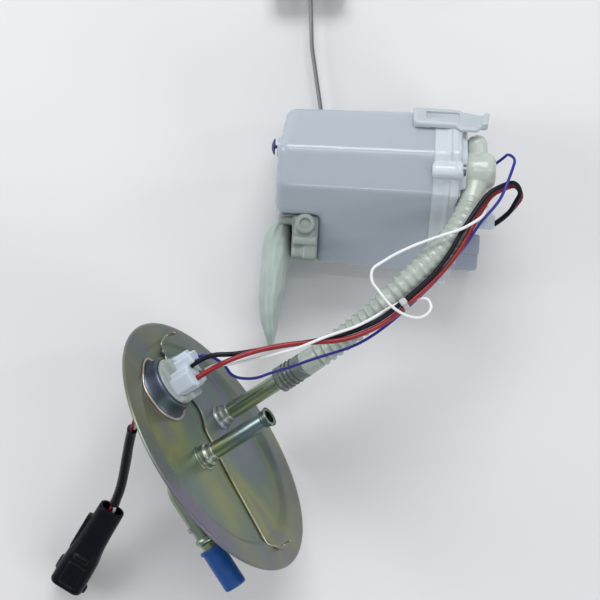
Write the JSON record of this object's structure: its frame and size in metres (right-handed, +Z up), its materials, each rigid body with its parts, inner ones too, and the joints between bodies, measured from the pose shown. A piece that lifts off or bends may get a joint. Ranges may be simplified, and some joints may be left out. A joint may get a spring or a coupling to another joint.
{
  "type": "fuel pump module",
  "caption": "In-tank fuel pump module: round steel flange with two tubes, ribbed hose, wiring, plastic fuel reservoir with electric pump, strainer and float arm.",
  "frame": {"origin": "middle of the base of the box round the rigid pieces, on the surface the module lies on", "axes": "+Z up from that surface; +Y from the flange towards the float, the longest way; +X along the reservoir towards its lid"},
  "size_m": [0.2269, 0.3219, 0.1234],
  "materials": {
    "zinc_steel": "yellow-passivated zinc plate, satin",
    "tube_steel": "zinc-plated tube, satin",
    "spring_steel": "bright wire",
    "brass": "bright",
    "nylon_grey": "blue-grey moulded nylon",
    "nylon_natural": "natural translucent nylon",
    "nylon_green": "natural nylon, greenish",
    "nylon_white": "white",
    "nylon_clear": "grey translucent",
    "nylon_lilac": "lilac-grey translucent",
    "plastic_black": "black",
    "cap_blue": "blue vinyl",
    "valve_blue": "dark-blue fluorosilicone",
    "rubber_black": "black",
    "felt": "fine woven strainer cloth",
    "wire_red": "red insulation",
    "wire_black": "black insulation",
    "wire_blue": "blue insulation",
    "wire_white": "white insulation",
    "magnet": "ferrite",
    "copper": "copper and laminations",
    "steel": "ground steel",
    "aluminium": "die-cast",
    "graphite": "carbon",
    "ceramic": "ceramic card",
    "float_foam": "closed-cell nitrile foam"
  },
  "bodies": {
    "module": {"brush_springs": "spring_steel", "brushes": "graphite", "bulkhead_connector": "nylon_clear", "bulkhead_terminals": "brass", "check_valve_spring": "spring_steel", "delivery_hose": "nylon_green", "elbow_seal": "rubber_black", "fill_valve_seat": "nylon_white", "flange_plate": "zinc_steel", "harness_plug": "nylon_white", "hose_cuff": "nylon_clear", "inlet_housing": "nylon_green", "lead_grommet": "rubber_black", "lid_screw": "steel", "locating_wire": "spring_steel", "locking_tab": "nylon_natural", "outlet_elbow": "nylon_green", "pigtail_cable": "rubber_black", "pigtail_grommet": "rubber_black", "plug_terminals": "brass", "pump_case": "aluminium", "pump_inlet_cover": "aluminium", "pump_inner_cover": "aluminium", "pump_isolator": "rubber_black", "pump_lead_connector": "nylon_white", "pump_lead_terminals": "brass", "pump_magnets": "magnet", "pump_outlet_cover": "nylon_white", "pump_ring": "steel", "reservoir_lid": "nylon_grey", "reservoir_shell": "nylon_grey", "resistor_card": "ceramic", "return_tube": "tube_steel", "sender_housing": "nylon_white", "shaft_bearings": "brass", "side_chamber": "nylon_lilac", "strainer_frame": "nylon_white", "strainer_sock": "felt", "supply_tube": "tube_steel", "vehicle_connector": "plastic_black", "vehicle_connector_lock": "plastic_black", "vehicle_connector_terminals": "brass", "wire_black": "wire_black", "wire_blue": "wire_blue", "wire_red": "wire_red", "wire_white": "wire_white"},
    "float_arm": {"sender_rotor": "nylon_natural", "float_arm_wire": "steel", "sender_float": "float_foam"},
    "pump_rotor": {"pump_shaft": "steel", "impeller": "graphite", "armature": "copper", "commutator": "copper"},
    "outlet_check": {"check_valve_poppet": "nylon_white"},
    "fill_check": {"fill_valve": "valve_blue"},
    "blue_cap": {"return_port_cap": "cap_blue"}
  },
  "joints": [
    {"name": "float_swing", "type": "hinge", "parent": "module", "child": "float_arm", "pos_m": [0.00142, 0.05558, 0.0085], "axis": [0, 0, 1], "range_deg": [-50, 45]},
    {"name": "pump_spin", "type": "hinge", "parent": "module", "child": "pump_rotor", "pos_m": [0.02831, 0.04081, 0.0405], "axis": [0.9983, -0.0576, 0], "continuous": true},
    {"name": "outlet_check_lift", "type": "slide", "parent": "module", "child": "outlet_check", "axis": [-0.2486, -0.8944, 0.3718], "range_m": [0, 0.002], "stiffness_N_per_m": 40, "springref_m": -0.001, "deforming": ["check_valve_spring"]},
    {"name": "fill_valve_lift", "type": "slide", "parent": "module", "child": "fill_check", "axis": [-0.9983, 0.0576, 0], "range_m": [0, 0.0015], "stiffness_N_per_m": 20, "springref_m": -0.0005},
    {"name": "cap_pull", "type": "slide", "parent": "module", "child": "blue_cap", "axis": [0.5422, -0.8402, 0], "range_m": [0, 0.03]}
  ]
}
